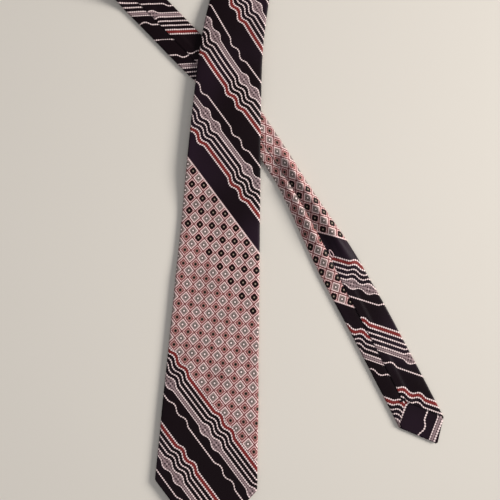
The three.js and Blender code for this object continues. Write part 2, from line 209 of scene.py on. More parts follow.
class Tie:
    """Where every point of the tie lies. s runs from the blade's point to the tail's, u is to the right
    of that way as seen from the face, v is out of the face, and c is the distance round the cloth."""

    def __init__(self, z):
        self.z = z
        # (length, turn in degrees, share of the length over which the bend eases in and out)
        stretches = [
            (z.blade_straight, 0, 0.5),
            (z.blade_ease, -7.5, 0.5),
            (z.loop_rise, 0, 0.5),
            (z.loop_length, 235.2, 0.1),
            (z.tail_run_in, 0, 0.5),
            (z.tail_crossing, -11, 0.5),
            (z.tail_ease, -4, 0.5),
            (z.tail_run_out, -2.5, 0.5),
        ]
        self.blade_seam = z.blade_straight + z.blade_ease
        self.loop_start = self.blade_seam + z.loop_rise
        self.loop_end = self.loop_start + z.loop_length
        self.crossing_end = self.loop_end + z.tail_run_in + z.tail_crossing
        self.tail_seam = self.crossing_end - z.tail_seam_back
        self.tail_flex = self.crossing_end + z.tail_flex_ahead
        self.length = self.crossing_end + z.tail_ease + z.tail_run_out
        self.path = self.trace(stretches)
        self.step = self.length / (len(self.path) - 1)
        self.radius = z.loft / 2 + z.air + HALF_WALL
        self.face_height = self.radius + HALF_WALL
        self.over_drop = 0.0008
        self.back_depth = self.face_height + self.over_drop
        self.widths = [
            (self.blade_seam, z.blade_upper_width),
            (self.loop_start + 0.3 * z.loop_length, z.neck_width),
            (self.loop_end + z.tail_run_in, z.neck_width),
            (self.crossing_end - 0.010, z.tail_bunched_width),
            (self.crossing_end + 0.030, z.tail_bunched_width),
            (self.length - TAIL_MIDDLE, z.tail_middle_width),
            (self.length - z.tail_point, z.tail_width),
        ]
        # The blade seam's hinge lies on the centre line, which places the whole line.
        hinge = JOINTS["blade_lift"]["pos_m"]
        self.origin = (0.0, 0.0)
        x, y, _ = self.plan(self.blade_seam)
        self.origin = (hinge[0] - x, hinge[1] - y)
        self.crossing = self.find_crossing()

    def trace(self, stretches):
        """Points a millimetre apart along the centre line, as (x, y, heading)."""
        points = [(0.0, 0.0, math.radians(BLADE_HEADING))]
        for length, turn, easing in stretches:
            steps = round(length / MM)
            step = length / steps
            for i in range(steps):
                x, y, heading = points[-1]
                t = (i + 0.5) / steps
                edge = min(t, 1 - t) / easing
                level = 0.5 - 0.5 * math.cos(math.pi * edge) if edge < 1 else 1.0
                bend = math.radians(turn) / steps * level / (1 - easing)
                middle = heading + bend / 2
                points.append((x + step * math.cos(middle), y + step * math.sin(middle), heading + bend))
        return points

    def plan(self, s):
        held = min(max(s, 0.0), self.length)
        at = min(held / self.step, len(self.path) - 1.000001)
        i = int(at)
        a, b, t = self.path[i], self.path[i + 1], at - i
        heading = lerp(a[2], b[2], t)
        x = lerp(a[0], b[0], t) + (s - held) * math.cos(heading) + self.origin[0]
        y = lerp(a[1], b[1], t) + (s - held) * math.sin(heading) + self.origin[1]
        return x, y, heading

    def roll(self, s):
        """How far the strip has rolled over: 0 is face up, and pi is face down."""
        start = self.blade_seam + TWIST_WAIT
        into = smoothstep(s, start, start + self.z.twist_in)
        over = smoothstep(s, self.loop_end - self.z.twist_out, self.loop_end)
        return math.pi / 2 * (into + over)

    def half_width(self, s):
        z = self.z
        if s >= self.blade_seam:
            return through(self.widths, s) / 2
        t = max(0.0, (s - z.blade_point) / (self.blade_seam - z.blade_point))
        return lerp(z.blade_width, z.blade_upper_width, t) / 2

    def flat_half(self, s):
        return self.half_width(s) - HALF_WALL - self.radius

    def shift(self, s):
        """How far the cloth has crept round the strip."""
        z = self.z
        if s < (self.blade_seam + self.loop_end) / 2:
            return z.blade_shift * max(0.0, 1 - s / self.blade_seam)
        return z.tail_shift * smoothstep(s, self.tail_flex, self.length - z.tail_point)

    def seam_edge(self, s):
        """u of the over flap's edge on the back."""
        gathered = smoothstep(s, *GATHER_IN) * (1 - smoothstep(s, *GATHER_OUT))
        return -SEAM_SHARE * self.half_width(s) - self.shift(s) / 2 + SEAM_ASIDE * gathered

    def find_crossing(self):
        near, margin = 0.004, 0.003
        under = []
        for i in range(0, int(self.blade_seam / MM), 4):
            x, y, heading = self.plan(i * MM)
            for k in range(int(self.loop_end / MM), int(self.length / MM), 4):
                tx, ty, th = self.plan(k * MM)
                for half in (-self.half_width(k * MM), self.half_width(k * MM)):
                    dx = tx + half * math.sin(th) - x
                    dy = ty - half * math.cos(th) - y
                    ahead = dx * math.cos(heading) + dy * math.sin(heading)
                    aside = abs(dx * math.sin(heading) - dy * math.cos(heading))
                    if abs(ahead) <= near and aside <= self.half_width(i * MM):
                        under.append(i * MM)
        return min(under) - margin, max(under) + margin

    def lift(self, s):
        low, high = self.crossing
        hump = smoothstep(s, low - CROSSING_SLOPE, low) - smoothstep(s, high, high + CROSSING_SLOPE)
        on_tail = (self.face_height + self.back_depth + CROSSING_GAP) * hump
        past = max(0.0, s - FITTINGS_END) / FITTINGS_FALL
        return on_tail + FITTINGS_LIFT * max(0.0, 1 - past)

    def place(self, s, u, v):
        x, y, heading = self.plan(s)
        roll = self.roll(s)
        c, d = math.cos(roll), math.sin(roll)
        sideways = u * c + v * d
        return Vector((
            x + sideways * math.sin(heading),
            y - sideways * math.cos(heading),
            self.half_width(s) * d + self.back_depth * max(c, 0) + self.face_height * max(-c, 0)
            - u * d + v * c + self.lift(s),
        ))

    def blade_end(self, c):
        """The station at which the cloth ends at the blade's point, by its distance round."""
        z = self.z
        return z.blade_point / (z.blade_width / 2) * abs(c - z.blade_shift)

    def tail_end(self, c):
        z = self.z
        return self.length - z.tail_point / (z.tail_width / 2) * abs(c - z.tail_shift)


# The parts of the shell's section, from the under flap round to the hem, each with its mesh steps
SECTION = (("under", 14), ("left", 8), ("face", 40), ("right", 8), ("over", 20), ("turn", 4), ("hem", 4))
COLUMNS = sum(steps for _, steps in SECTION)


def section_share(column):
    """The section's part that a column belongs to, and how far along it is."""
    for name, steps in SECTION:
        if column <= steps:
            return name, column / steps
        column -= steps
    return SECTION[-1][0], 1.0


def shell_point(tie, s, column):
    """(u, v, c) of the middle of the shell's cloth at a station, without its relief."""
    z, r = tie.z, tie.radius
    flat, edge = tie.flat_half(s), tie.seam_edge(s)
    name, t = section_share(column)
    round_fold = flat + math.pi * r
    if name == "under":
        u = lerp(edge + z.seam_lap, -flat, t)
        return u, -r, -(round_fold + flat + u)
    if name == "left":
        a = math.pi * (1 - t)
        return -(flat + r * math.sin(a)), r * math.cos(a), -(flat + r * a)
    if name == "face":
        u = lerp(-flat, flat, t)
        return u, r, u
    if name == "right":
        a = math.pi * t
        return flat + r * math.sin(a), r * math.cos(a), flat + r * a
    if name == "over":
        u = lerp(flat, edge, t)
        drop = tie.over_drop * (1 - smoothstep(u, edge + z.seam_lap, edge + z.seam_lap + z.seam_step))
        return u, -r - drop, round_fold + flat - u
    round_edge = round_fold + flat - edge
    if name == "turn":
        a = math.pi * t
        v = -r - tie.over_drop + HEM_TURN * (1 - math.cos(a))
        return edge - HEM_TURN * math.sin(a), v, round_edge + HEM_TURN * a
    inward = HEM_DEPTH * t
    return edge + inward, -r - tie.over_drop + 2 * HEM_TURN, round_edge + math.pi * HEM_TURN + inward


def wander(x, y, seed):
    """Smooth noise from -1 to 1."""
    return noise.noise(Vector((x, y, seed)))


def relief(tie, s, u, column):
    """How the soft cloth stands away from the plain section, as (du, dv). A side that lies on the
    floor is flat."""
    name, t = section_share(column)
    half = tie.half_width(s)
    face_up = 0.5 + 0.5 * math.cos(tie.roll(s))
    du = 0.0005 * wander(s / 0.055, 0.3 if u < 0 else 7.1, 2.0) * abs(u / half) ** 3
    if name == "face":
        pillow = (1 - abs(u / half) ** 5) * face_up
        lumps = 0.55 * wander(s / 0.06, u / 0.035, 5.0) + 0.25 * wander(s / 0.021, u / 0.016, 9.0)
        return du, (0.0005 + 0.0007 * lumps) * pillow
    if name in ("left", "right"):
        pucker = 0.00012 * wander(s / 0.009, 3.0 if u < 0 else 5.0, 1.0)
        side = -1 if u < 0 else 1
        return du + side * pucker * math.sin(math.pi * t), 0.0
    edge = tie.seam_edge(s)
    limit = tie.flat_half(s)
    across = (u - edge) / (limit - edge) if name != "under" else (u - edge) / (-limit - edge)
    across = min(max(across, 0.0), 1.0)
    skew, wait, rise = UNDER_BUNCH if name == "under" else OVER_BUNCH
    swell = math.sin(math.pi * across**skew) ** 1.2
    start, (fade, gone) = tie.crossing_end + wait, BUNCH_OUT
    grown = smoothstep(s, start, start + BUNCH_GROWTH)
    bunch = grown * (1 - smoothstep(s, tie.crossing_end + fade, tie.crossing_end + gone))
    rest = 0.0003 * (1 + 1.3 * wander(s / 0.05, u / 0.02, 12.0)) * (1 - face_up)
    return du, -(rest + bunch * rise) * swell


class Cut:
    """How a piece was cut from the figured cloth: its place on the pattern, from c and s in metres.
    The first result counts pairs of squares along the stripes, the second is millimetres across them."""

    def __init__(self, along, across, pair=18.0, start=0.0, pull=0.0, origin=0.0):
        self.along, self.across = along, across
        self.pair, self.start, self.pull, self.origin = pair, start, pull, origin

    def __call__(self, c, s):
        x = self.along[0] * c / MM + self.along[1] * s / MM + self.origin
        pairs = self.start + x / self.pair + self.pull * x * x
        return pairs, self.across[0] * c / MM + self.across[1] * s / MM + self.across[2]


CUTS = {
    "blade": Cut(
        (0.70994, -0.70994), (0.77028, 0.64398, -91.7), pair=18.35, start=5.917, pull=-1.45e-5, origin=180
    ),
    "neck": Cut((0.80, -0.655), (0.697, 0.780, -818.3), start=46.56),
    "tail": Cut((0.80, -0.655), (0.700, 0.655, -682.2), start=46.9),
    "blade_tipping": Cut((0.71, -0.71), (0.75, 0.66, -20.0), start=3.3),
    "tail_tipping": Cut((0.62, -0.57), (0.555, 0.618, -906.7), start=46.826),
    "keeper": Cut((0.0, 1.0), (1.0, 0.0, -172.0), start=0.4),
}


# ---------------------------------------------------------------- mesh helpers


def finished(name, mesh, body, material, thick=None, bends=False):
    """A new object for a mesh, in the scene, material and thickness. It rides on a body,
    or, when it is to bend with the body's joint, rides on no body."""
    piece = bpy.data.objects.new(name, mesh)
    bpy.context.scene.collection.objects.link(piece)
    mesh.materials.append(finish(material))
    for face in mesh.polygons:
        face.use_smooth = True
    if not bends:
        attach(piece, body)
    if thick:
        wall = piece.modifiers.new("cloth thickness", "SOLIDIFY")
        wall.thickness = thick
        wall.offset = 0.0
    if bends:
        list(bend(body))
        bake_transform(piece)
    return piece


def cut_size(faces, flat):
    """A sheet's (width, length) and area as it was cut, from each vertex's (across, along) on the flat
    cloth."""
    area = 0.0
    for face in faces:
        corners = [flat[vert] for vert in face.verts]
        turns = zip(corners, corners[1:] + corners[:1])
        area += abs(sum(a[0] * b[1] - b[0] * a[1] for a, b in turns)) / 2
    across, along = zip(*flat.values())
    return (max(across) - min(across), max(along) - min(along)), area


def laid_cloth(name, columns, rows, station, point, cut):
    """The middle of a sheet of cloth. station(i, j) is s of a grid vertex, and point(s, i) gives its
    (place, c). The cloth's own coordinates go into the UV map named cloth."""
    form = bmesh.new()
    bmesh.ops.create_grid(form, x_segments=columns, y_segments=rows, size=0.5)
    form.verts.ensure_lookup_table()
    layer = form.loops.layers.uv.new("cloth")
    where, flat = {}, {}
    for vert in form.verts:
        i = round((vert.co.x + 0.5) * columns)
        j = round((vert.co.y + 0.5) * rows)
        s = station(i, j)
        place, c = point(s, i)
        where[vert], flat[vert] = cut(c, s), (c, s)
        vert.co = place
    for face in form.faces:
        for loop in face.loops:
            loop[layer].uv = where[loop.vert]
    cut_size(form.faces, flat)
    mesh = bpy.data.meshes.new(name)
    form.normal_update()
    form.to_mesh(mesh)
    form.free()
    return mesh


def rows_to_end(stations, end, tip):
    """(station(i, j), rows) of a grid with a row at each station, and with more rows on to a slanted end.
    end is None or (side, how many more rows, ...), and tip(i) is the station of that end."""
    last = len(stations) - 1
    side, run = end[:2] if end else ("last", 0)

    def station(i, j):
        if side == "first":
            return stations[j - run] if j >= run else lerp(tip(i), stations[0], j / run)
        return stations[j] if j <= last else lerp(stations[last], tip(i), (j - last) / run)

    return station, last + run


def shell_mesh(tie, name, stations, cut, end=None):
    """The shell's cloth over a list of stations. end is (side, rows, cut_at) for an end that is cut on a
    slant, at cut_at(c)."""
    def tip(i):
        side, _, cut_at = end
        _, _, c = shell_point(tie, stations[0] if side == "first" else tie.length - tie.z.tail_point, i)
        return cut_at(c)

    def point(s, i):
        u, v, c = shell_point(tie, s, i)
        du, dv = relief(tie, s, u, i)
        return tie.place(s, u + du, v + dv), c * spread(tie, s)

    station, rows = rows_to_end(stations, end, tip)
    return laid_cloth(name, COLUMNS, rows, station, point, cut)


def spread(tie, s):
    """How much more cloth lies across than the finished width shows, where the tail is gathered."""
    if s < tie.tail_seam:
        return 1.0
    widened = smoothstep(s, tie.tail_seam, tie.length - TAIL_MIDDLE)
    full = lerp(tie.z.neck_width, tie.z.tail_middle_width, widened) / 2
    return 1 + 0.5 * max(0.0, full / tie.half_width(s) - 1)


def stations_between(low, high, step):
    count = max(1, round((high - low) / step))
    return [lerp(low, high, k / count) for k in range(count + 1)]


def inner_mesh(tie, name, stations, v, cut, inset, end=None, columns=24):
    """A flat layer inside the shell, at height v in it, that ends inset short of the shell's own end."""
    def across(s, i):
        half = tie.flat_half(s) - tie.z.air
        return lerp(-half, half, i / columns)

    def tip(i):
        side, _, cut_at = end
        if side == "first":
            return cut_at(across(stations[0], i)) + inset
        return cut_at(across(tie.length, i)) - inset

    def point(s, i):
        u = across(s, i)
        return tie.place(s, u, v), u

    station, rows = rows_to_end(stations, end, tip)
    return laid_cloth(name, columns, rows, station, point, cut)


def ring_edges(ring):
    """The edges that run round a ring of vertices, in a steady order."""
    edges = dict.fromkeys(edge for vert in ring for edge in vert.link_edges)
    return [edge for edge in edges if all(vert in ring for vert in edge.verts)]


def strand(form, points, radius, sides=6):
    """A thread along a line of points, added to a form: a ring of vertices extruded from point to point,
    finer at both ends."""
    ring = None
    for k, at in enumerate(points):
        ahead = (points[min(k + 1, len(points) - 1)] - points[max(k - 1, 0)]).normalized()
        turn = Vector((0, 0, 1)).rotation_difference(ahead).to_matrix()
        taper = 0.35 if k in (0, len(points) - 1) else 1.0
        if ring is None:
            made = bmesh.ops.create_circle(form, cap_ends=True, segments=sides, radius=radius * taper)
            ring = made["verts"]
            for vert in ring:
                vert.co = at + turn @ vert.co
            bmesh.ops.reverse_faces(form, faces=ring[0].link_faces[:])
            continue
        grown = bmesh.ops.extrude_edge_only(form, edges=ring_edges(ring))["geom"]
        ring = [part for part in grown if isinstance(part, bmesh.types.BMVert)]
        middle = sum((vert.co for vert in ring), Vector()) / len(ring)
        for vert in ring:
            spoke = vert.co - middle
            spoke -= spoke.project(ahead)
            vert.co = at + spoke.normalized() * radius * taper
    bmesh.ops.contextual_create(form, geom=ring_edges(ring))


def threads(name, runs, radius):
    """A mesh of many short threads."""
    form = bmesh.new()
    for points in runs:
        strand(form, points, radius)
    bmesh.ops.recalc_face_normals(form, faces=form.faces)
    mesh = bpy.data.meshes.new(name)
    form.to_mesh(mesh)
    form.free()
    return mesh


# ---------------------------------------------------------------- shader arithmetic


def math_node(operation):
    """A method of Value that adds one Math node."""
    return lambda value, *others: value.math(operation, *others)


class Value:
    """A number in a shader. Arithmetic on it adds Math nodes."""

    def __init__(self, shader, socket):
        self.shader, self.socket = shader, socket

    def math(self, operation, *others):
        return self.shader.node("ShaderNodeMath", {"operation": operation}, dict(enumerate((self, *others))))

    __add__ = __radd__ = math_node("ADD")
    __sub__ = math_node("SUBTRACT")
    __mul__ = __rmul__ = math_node("MULTIPLY")
    __truediv__ = math_node("DIVIDE")
    __mod__ = math_node("FLOORED_MODULO")
    __abs__ = math_node("ABSOLUTE")
    __lt__ = math_node("LESS_THAN")
    __gt__ = math_node("GREATER_THAN")
    floor = math_node("FLOOR")
    round = math_node("ROUND")
    root = math_node("SQRT")
    cosine = math_node("COSINE")
    least = math_node("MINIMUM")
    most = math_node("MAXIMUM")

    def __rsub__(self, other):
        return self.shader.node("ShaderNodeMath", {"operation": "SUBTRACT"}, {0: other, 1: self})

    def ramp(self, low, high):
        """0 below low, 1 above high, smooth between; high may be the smaller."""
        return self.shader.node(
            "ShaderNodeMapRange",
            {"interpolation_type": "SMOOTHSTEP"},
            {"Value": self, "From Min": low, "From Max": high},
        )


class Shader:
    """A material's node tree, built from the inside out."""

    def __init__(self, name):
        self.material = bpy.data.materials.new(name)
        self.material.use_nodes = True
        self.tree = self.material.node_tree
        self.tree.nodes.clear()

    def node(self, kind, settings=None, inputs=None, output=0):
        """One node: its settings first, then values or links for its sockets."""
        made = self.tree.nodes.new(kind)
        for key, value in (settings or {}).items():
            setattr(made, key, value)
        for key, value in (inputs or {}).items():
            socket = made.inputs[key]
            if isinstance(value, Value):
                self.tree.links.new(value.socket, socket)
            else:
                socket.default_value = value
        return Value(self, made.outputs[output]) if made.outputs else None

    def mix(self, factor, first, second):
        """A colour between two colours."""
        return self.node("ShaderNodeMix", {"data_type": "RGBA"}, {0: factor, 6: first, 7: second}, 2)

    def coordinates(self):
        """The cloth's own two coordinates."""
        at = self.node("ShaderNodeUVMap", {"uv_map": "cloth"})
        return [self.node("ShaderNodeSeparateXYZ", {}, {0: at}, axis) for axis in (0, 1)]

    def place(self):
        """Where the shaded point is on its object, in metres."""
        return self.node("ShaderNodeTexCoord", output=3)

    def noise(self, at, scale, detail=2.0):
        return self.node("ShaderNodeTexNoise", {}, {"Vector": at, "Scale": scale, "Detail": detail})

    def surface(self, principled, height=None, distance=0.0002, strength=1.0):
        """The material's surface, from the Principled shader's inputs and a height for its bump."""
        if height is not None:
            principled["Normal"] = self.node(
                "ShaderNodeBump", {}, {"Height": height, "Distance": distance, "Strength": strength}
            )
        surface = self.node("ShaderNodeBsdfPrincipled", {}, principled)
        self.node("ShaderNodeOutputMaterial", {}, {"Surface": surface})
        return self.material


# ---------------------------------------------------------------- the woven figure

REPEAT = 51.15  # stripes, mm
LINE_STEP = 4.6  # between two dotted lines
ZONE = 129.7  # the field of squares, mm across
FIRST_LINE = 148.8  # first dotted line above the field
PERIOD = 400.2  # the whole figure
MIRROR = 100.1  # where the stripes turn over, below the field
RIPPLE = 2.7  # how far a ripple lifts the lines, mm
BUMP = 0.485  # pairs of squares, from the middle of a double bump
CELL = 8.85  # a square, mm
SQUEEZE = 3.4e-5  # how much the squares draw together down the field
LINES = 145  # how far from the field the grouped lines go, mm
HALF_STEP = LINE_STEP / 2  # the first line of a repeat lies this far in, mm
LAST_DOTTED = 20.7  # where the dotted lines of a repeat stop, mm
LACE = 18.4  # where the lacy band starts, mm
FLOWER = 23.2  # the middle of its flowers, mm
LONE_LINE = 32.6  # the single line of a repeat, mm
GROUP_RIPPLE, LONE_RIPPLE, TURN_RIPPLE = 2.47, 0.43, 1.4  # middles of the double bumps, in pairs
BEAD_TURN = 16 * math.pi  # eight beads to a pair of squares
WARP_TURN = 64 * math.pi  # and thirty-two threads
WEFT_TURN = 2 * math.pi / 0.56  # a thread every 0.56 mm


def ripples(pairs, centre):
    """The double bump that runs through the stripes every four pairs, and how far off its middle is."""
    along = (((pairs - centre) / 4 + 0.5) % 1 - 0.5) * 4
    return abs(abs(along) - BUMP).ramp(0.43, 0.04) * RIPPLE, along


def squares_field(sh, colours, pairs, down, beads):
    """The field of squares, by the distance down from its upper edge."""
    rows = down / CELL - down * down * SQUEEZE
    row = rows.floor()
    column = (pairs * 2).round()
    x = abs(pairs * 2 - column)
    y = abs(rows - row - 0.5)
    square = x.most(y)
    round_ = (x * x + y * y).root()
    diamond = x + y
    dark = 1 - ((column + row) % 2)
    stitch = (pairs * BEAD_TURN).cosine() * (rows * (8 * math.pi)).cosine() * 0.5 + 0.5
    dashes = (pairs * BEAD_TURN).cosine() * 0.5 + 0.5
    hatch = sh.mix(stitch.ramp(0.3, 0.7) * 0.75, colours.pink, colours.brick)

    pale = sh.mix(stitch * 0.45, colours.silver, colours.brick)
    pale = sh.mix(abs(round_ - 0.17).ramp(0.09, 0.02) * 0.5, pale, colours.ground)
    pale = sh.mix(round_.ramp(0.12, 0.06), pale, colours.white)
    pale = sh.mix((square - 0.33).ramp(-0.02, 0.02) * 0.8, pale, hatch)
    pale = sh.mix(abs(square - 0.385).ramp(0.062, 0.02) * (0.7 + 0.3 * dashes), pale, colours.white)

    framed = sh.mix(abs(square - 0.4).ramp(0.05, 0.015) * (0.35 + 0.5 * dashes), hatch, colours.white)
    strong = sh.mix(square.most(diamond / 1.62).ramp(0.355, 0.315), framed, colours.black)
    strong = sh.mix(round_.ramp(0.12, 0.06), strong, colours.beige)

    weak = sh.mix(abs(square - 0.275).ramp(0.07, 0.02) * 0.8, framed, colours.brick)
    weak = sh.mix(diamond.ramp(0.28, 0.2) * 0.8, weak, colours.beige)
    weak = sh.mix(round_.ramp(0.2, 0.11), weak, colours.black)

    cells = sh.mix(dark, pale, sh.mix(rows < 5, weak, strong))
    cells = sh.mix((square - 0.445).ramp(0, 0.025) * 0.95, cells, colours.brick)
    rim = abs(down - 0.7).ramp(0.9, 0.4) * (0.3 + 0.4 * beads)
    return sh.mix(rim, cells, colours.white), stitch


def woven_cloth(name, colours):
    """The tie's figured cloth: dotted stripes with ripples either side of a field of squares."""
    sh = Shader(name)
    pairs, cut_across = sh.coordinates()
    across = (cut_across + MIRROR) % PERIOD - MIRROR
    below = across < ZONE / 2
    held = pairs - below
    bump, along = ripples(held, GROUP_RIPPLE)
    other_bump, _ = ripples(held, LONE_RIPPLE)
    away = (0 - across) * below + (across - FIRST_LINE) * (1 - below)
    group = away + bump
    inside = (group < -1.0) * below + (across < ZONE) * (1 - below)
    grouped = (away < LINES) * (away + 55 * below < 150)

    place = (group + HALF_STEP) % REPEAT - HALF_STEP
    beads = (pairs * BEAD_TURN).cosine() * 0.5 + 0.5
    bead_half = beads * 0.46 + 0.38
    nearest = abs((place + HALF_STEP) % LINE_STEP - HALF_STEP)
    dotted = (nearest - bead_half).ramp(0.25, -0.25) * (place < LAST_DOTTED)
    red = abs(place - HALF_STEP).ramp(1.75, 1.45)
    lace_height = bump * 1.9 + 4.5
    lace_at = (place - LACE) / lace_height
    lace = abs(lace_at - 0.5).ramp(0.58, 0.52)
    top_row = (abs(lace_at - 1) * lace_height - bead_half).ramp(0.25, -0.25)
    middle_row = (abs(lace_at - 0.5) * lace_height).ramp(0.85, 0.35)

    # Each ripple opens a flower in the lacy band.
    knot_x = (abs(along) - BUMP) * 18
    knot_y = place - FLOWER
    knot = (knot_x * knot_x + knot_y * knot_y).root()
    in_knot = knot.ramp(4.6, 3.4) * lace
    spots = abs(abs(knot_x) - 1.45).most(abs(abs(knot_y) - 1.45)).ramp(0.95, 0.55)

    stripes = sh.mix(red * (0.8 + 0.2 * beads), colours.ground, colours.red)
    fine_rows = (lace_at * (4 * math.pi)).cosine() * 0.5 + 0.5
    stripes = sh.mix(lace * (0.15 + 0.35 * beads + 0.5 * fine_rows), stripes, colours.lace)
    stripes = sh.mix(middle_row * lace * 0.85, stripes, colours.lace)
    stripes = sh.mix(in_knot * 0.6, stripes, colours.lace)
    stripes = sh.mix(spots * in_knot * 0.9, stripes, colours.ground)
    white = (dotted + top_row * lace + knot.ramp(0.9, 0.3) * 0.8).least(1)
    white_yarn = sh.mix(beads * 0.7 + 0.3, colours.lace, colours.white)
    stripes = sh.mix(white, stripes, white_yarn)

    single_place = (away + other_bump + HALF_STEP) % REPEAT - HALF_STEP
    single = (abs(single_place - LONE_LINE) - bead_half * 0.85).ramp(0.22, -0.22)
    single = single * (away > 5) * (away < LINES - 5)
    # One more single line runs where the stripes turn over.
    turning, _ = ripples(held, TURN_RIPPLE)
    from_turn = (cut_across + MIRROR + PERIOD / 2) % PERIOD - PERIOD / 2
    single = single.most((abs(from_turn + turning * 0.6) - bead_half * 0.85).ramp(0.22, -0.22))

    at = sh.place()
    slow = sh.noise(at, 38.0, 3.0)
    # Painted sheen: where this noise is high, the dark ground is mixed towards the plum painted sheen tint.
    painted_sheen = sh.noise(at, 9.0, 1.0)
    slub = sh.noise(at, 900.0, 2.0)
    ground = sh.mix(painted_sheen.ramp(0.42, 0.68) * (0.6 + slow * 0.4), colours.ground, colours.painted_sheen_tint)
    lines = (white + red + lace).least(1)
    stripes = sh.mix(lines * grouped, ground, stripes)
    stripes = sh.mix(single, stripes, white_yarn)

    cells, stitch = squares_field(sh, colours, pairs, ZONE - across, beads)
    figure = sh.mix(inside, stripes, cells)
    # Threads of the ground weave, and a slow change of tone.
    warp = (pairs * WARP_TURN).cosine()
    weft = (cut_across * WEFT_TURN).cosine()
    tone = sh.mix(((slow - 0.45) * 0.7).most(0), figure, colours.ground)
    raised = (white * grouped + single) * (1 - inside) + inside * (0.35 + 0.4 * stitch)
    height = raised * 0.9 + warp * weft * 0.22 + slub * 0.35
    shine = 0.50 - raised * 0.06 + (slow - 0.5) * 0.16
    return sh.surface(
        {"Base Color": tone, "Roughness": shine, "Specular IOR Level": 0.10},
        height,
        distance=0.00016,
        strength=0.55,
    )


def thread_material(name, tint):
    sh = Shader(name)
    at = sh.place()
    bands = {"wave_type": "BANDS", "bands_direction": "DIAGONAL"}
    ply = sh.node("ShaderNodeTexWave", bands, {"Vector": at, "Scale": 900.0, "Distortion": 1.0})
    fuzz = sh.noise(at, 1500.0)
    shade = sh.mix(ply * 0.35 + fuzz * 0.2, tint, (0.01, 0.006, 0.008, 1))
    look = {"Base Color": shade, "Roughness": 0.7, "Specular IOR Level": 0.12}
    return sh.surface(look, ply + fuzz * 0.4, 0.00008)


def felt_material(colours):
    sh = Shader("brushed_interlining")
    at = sh.place()
    nap = sh.noise(at, 700.0, 6.0)
    cloud = sh.noise(at, 60.0, 2.0)
    shade = sh.mix(nap * 0.35 + cloud * 0.15, colours.felt, (0.36, 0.3, 0.22, 1))
    return sh.surface({"Base Color": shade, "Roughness": 0.95, "Sheen Weight": 0.4}, nap, 0.0003)


def label_material(colours):
    sh = Shader("label_ribbon")
    across, along = sh.coordinates()
    ribs = (along * (2 * math.pi / 0.5)).cosine() * (across * (2 * math.pi / 0.7)).cosine()
    at = sh.place()
    slub = sh.noise(at, 400.0, 3.0)
    shade = sh.mix(ribs * 0.12 + slub * 0.25, colours.label, colours.ground)
    look = {"Base Color": shade, "Roughness": 0.48, "Sheen Weight": 0.1}
    return sh.surface(look, ribs * 0.5 + slub * 0.3, 0.0001)


def finish(name):
    """A material by name, made the first time that it is wanted."""
    colours = bpy.context.scene.necktie_colours
    makers = {
        "figured_cloth": lambda: woven_cloth("figured_cloth", colours),
        "sewing_thread": lambda: thread_material("sewing_thread", colours.thread),
        "pale_thread": lambda: thread_material("pale_thread", colours.pale_thread),
        "brushed_interlining": lambda: felt_material(colours),
        "label_ribbon": lambda: label_material(colours),
    }
    return bpy.data.materials.get(name) or makers[name]()


# ---------------------------------------------------------------- operators

SEAM_GAP = 0.0001  # between a shell's cut end and the seam that it meets
BLADE_ROWS = 0.162  # station from which the blade's mesh rows run square across
TAIL_ROWS, TAIL_INNER_ROWS = 0.070, 0.060  # the same, from the tail's point, for the shell and inside it
SEWN_FROM, SEWN_TO = 0.158, 0.066  # the back seam's ends, from the blade's point and from the tail's
TACK_HALF = 0.0032  # half a bar tack's span
LOOP_THREAD = 0.0004  # radius of the loose loop's thread
LAMP_SPREAD = 75  # degrees

_ties = {}


def the_tie():
    """The tie's geometry for the present sizes."""
    if "tie" not in _ties:
        _ties["tie"] = Tie(bpy.context.scene.necktie_sizes)
    return _ties["tie"]


def bend(body):
    """The two points between which the cloth bends at a body's joint."""
    tie = the_tie()
    at, reach = (tie.blade_seam, -0.085) if body == "blade" else (tie.tail_flex, 0.075)
    return tie.place(at, 0, 0), tie.place(at + reach, 0, 0)


def lay(name, mesh, body, material, thick, bends, nodes, under):
    """A sheet of the strip, with what it stands for and how it is held. The sheet that it rests on is not
    used.
    """
    piece = finished(name, mesh, body, material, thick, bends)
    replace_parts(piece, *nodes)


def lay_shell(body, low, high, step, end, *nodes):
    """One body's shell cloth, between two stations. One with a slanted end is not put on its body."""
    tie = the_tie()
    name = body + "_cloth"
    mesh = shell_mesh(tie, name, stations_between(low, high, step), CUTS[body], end)
    thick, bends, under = tie.z.cloth, end is not None, body + "_interlining_felt"
    lay(name, mesh, body, "figured_cloth", thick, bends, nodes, under)
    return {"FINISHED"}


class NECKTIE_OT_blade(bpy.types.Operator):
    """Lay the wide blade's shell cloth, folded round to the back seam"""

    bl_idname = "necktie.blade"
    bl_label = "Blade shell"

    def execute(self, context):
        tie = the_tie()
        high, end = tie.blade_seam - SEAM_GAP, ("first", 48, tie.blade_end)
        return lay_shell("blade", BLADE_ROWS, high, tie.z.row_step, end, "blade_shell")


class NECKTIE_OT_neck(bpy.types.Operator):
    """Lay the neck band's shell cloth, rolled on to its edge round the loop"""

    bl_idname = "necktie.neck"
    bl_label = "Neck shell"

    def execute(self, context):
        tie = the_tie()
        low, high = tie.blade_seam + SEAM_GAP, tie.tail_seam - SEAM_GAP
        return lay_shell("neck", low, high, tie.z.row_step, None, "neck_shell")


class NECKTIE_OT_tail(bpy.types.Operator):
    """Lay the narrow tail's shell cloth, gathered beside the blade and open at its point"""

    bl_idname = "necktie.tail"
    bl_label = "Tail shell"

    def execute(self, context):
        tie = the_tie()
        low, high, step = tie.tail_seam + SEAM_GAP, tie.length - TAIL_ROWS, tie.z.row_step * 0.8
        end = ("last", 32, tie.tail_end)
        return lay_shell("tail", low, high, step, end, "tail_shell_upper", "tail_shell")


